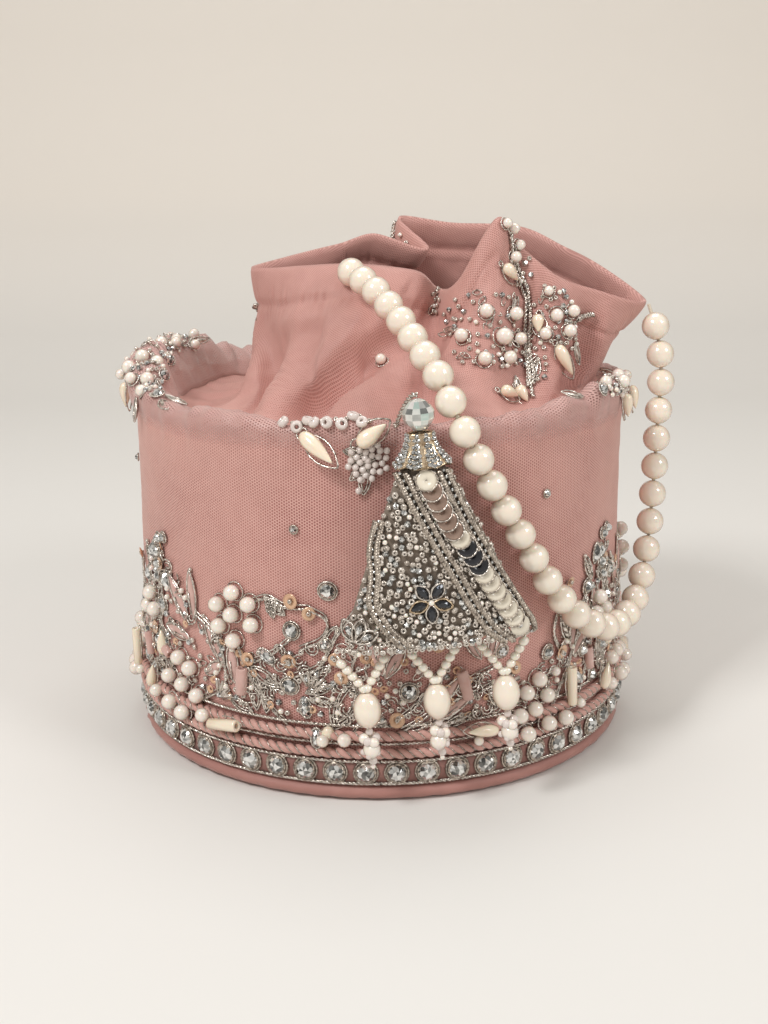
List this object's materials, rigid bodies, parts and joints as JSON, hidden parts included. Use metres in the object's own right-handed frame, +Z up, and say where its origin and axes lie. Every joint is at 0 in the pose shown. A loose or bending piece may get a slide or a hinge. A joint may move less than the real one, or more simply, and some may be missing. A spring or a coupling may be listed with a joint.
{
  "type": "drawstring pouch bag",
  "caption": "Round stiff-walled pouch bag with gathered open top, beaded tassel, crystal band at the foot and a pearl strand handle.",
  "frame": {"origin": "centre of the underside of the base, on the surface it stands on", "axes": "+Z up, the tassel and front toward -Y, the free end of the handle toward +X"},
  "size_m": [0.1828, 0.1814, 0.1673],
  "materials": {
    "satin": "dusty rose satin under fine net",
    "lining_satin": "plain dusty rose satin",
    "net": "hexagonal net with beadwork",
    "board": "stiff greyboard",
    "rope": "twisted satin cord with metal thread",
    "thread": "waxed beading thread",
    "pearl": "ivory pearl coating",
    "seed_pearl": "ivory seed pearls",
    "crystal": "clear faceted crystal in silver settings",
    "gilt": "gilt cap set with rhinestones",
    "beadwork": "silver and grey seed beads"
  },
  "bodies": {
    "root": {"base_cover": "satin", "base_board": "board", "wall_board": "board", "lining_base": "lining_satin", "lining": "lining_satin", "wall_fabric": "satin", "collar": "satin", "embroidered_net": "net", "stone_band": "crystal", "lower_rope": "rope", "upper_rope": "rope", "tassel_hanger": "rope"},
    "handle": {"handle_thread": "thread", "handle_pearl_01": "pearl", "handle_pearl_02": "pearl", "handle_pearl_03": "pearl", "handle_pearl_04": "pearl", "handle_pearl_05": "pearl", "handle_pearl_06": "pearl", "handle_pearl_07": "pearl", "handle_pearl_08": "pearl", "handle_pearl_09": "pearl", "handle_pearl_10": "pearl", "handle_pearl_11": "pearl", "handle_pearl_12": "pearl", "handle_pearl_13": "pearl", "handle_pearl_14": "pearl", "handle_pearl_15": "pearl", "handle_pearl_16": "pearl", "handle_pearl_17": "pearl", "handle_pearl_18": "pearl", "handle_pearl_19": "pearl", "handle_pearl_20": "pearl", "handle_pearl_21": "pearl", "handle_pearl_22": "pearl", "handle_pearl_23": "pearl", "handle_pearl_24": "pearl", "handle_pearl_25": "pearl", "handle_pearl_26": "pearl", "handle_pearl_27": "pearl", "handle_pearl_28": "pearl", "handle_pearl_29": "pearl", "handle_pearl_30": "pearl", "handle_pearl_31": "pearl", "handle_pearl_32": "pearl", "handle_pearl_33": "pearl"},
    "tassel": {"crystal_bead": "crystal", "bead_cap": "gilt", "tassel_pad": "beadwork"},
    "drop_left": {"drop_left_strands": "seed_pearl", "drop_left_pearl": "pearl", "drop_left_tip": "beadwork"},
    "drop_middle": {"drop_middle_strands": "seed_pearl", "drop_middle_pearl": "pearl", "drop_middle_tip": "beadwork"},
    "drop_right": {"drop_right_strands": "seed_pearl", "drop_right_pearl": "pearl", "drop_right_tip": "beadwork"}
  },
  "joints": [
    {"name": "handle_swing", "type": "hinge", "parent": "root", "child": "handle", "pos_m": [-0.0094, -0.01603, 0.1552], "axis": [-0.9862, -0.0705, 0.1496], "range_deg": [0, 135]},
    {"name": "tassel_swing", "type": "hinge", "parent": "root", "child": "tassel", "pos_m": [0.01061, -0.08897, 0.1243], "axis": [-0.993, -0.1184, 0], "range_deg": [0, 75]},
    {"name": "drop_left_swing", "type": "hinge", "parent": "tassel", "child": "drop_left", "pos_m": [-0.00395, -0.09232, 0.05172], "axis": [-0.9899, -0.1177, -0.0785], "range_deg": [-8, 60]},
    {"name": "drop_middle_swing", "type": "hinge", "parent": "tassel", "child": "drop_middle", "pos_m": [0.01634, -0.0899, 0.05333], "axis": [-0.9899, -0.1177, -0.0785], "range_deg": [-8, 60]},
    {"name": "drop_right_swing", "type": "hinge", "parent": "tassel", "child": "drop_right", "pos_m": [0.03664, -0.08748, 0.05494], "axis": [-0.9899, -0.1177, -0.0785], "range_deg": [-8, 60]}
  ]
}
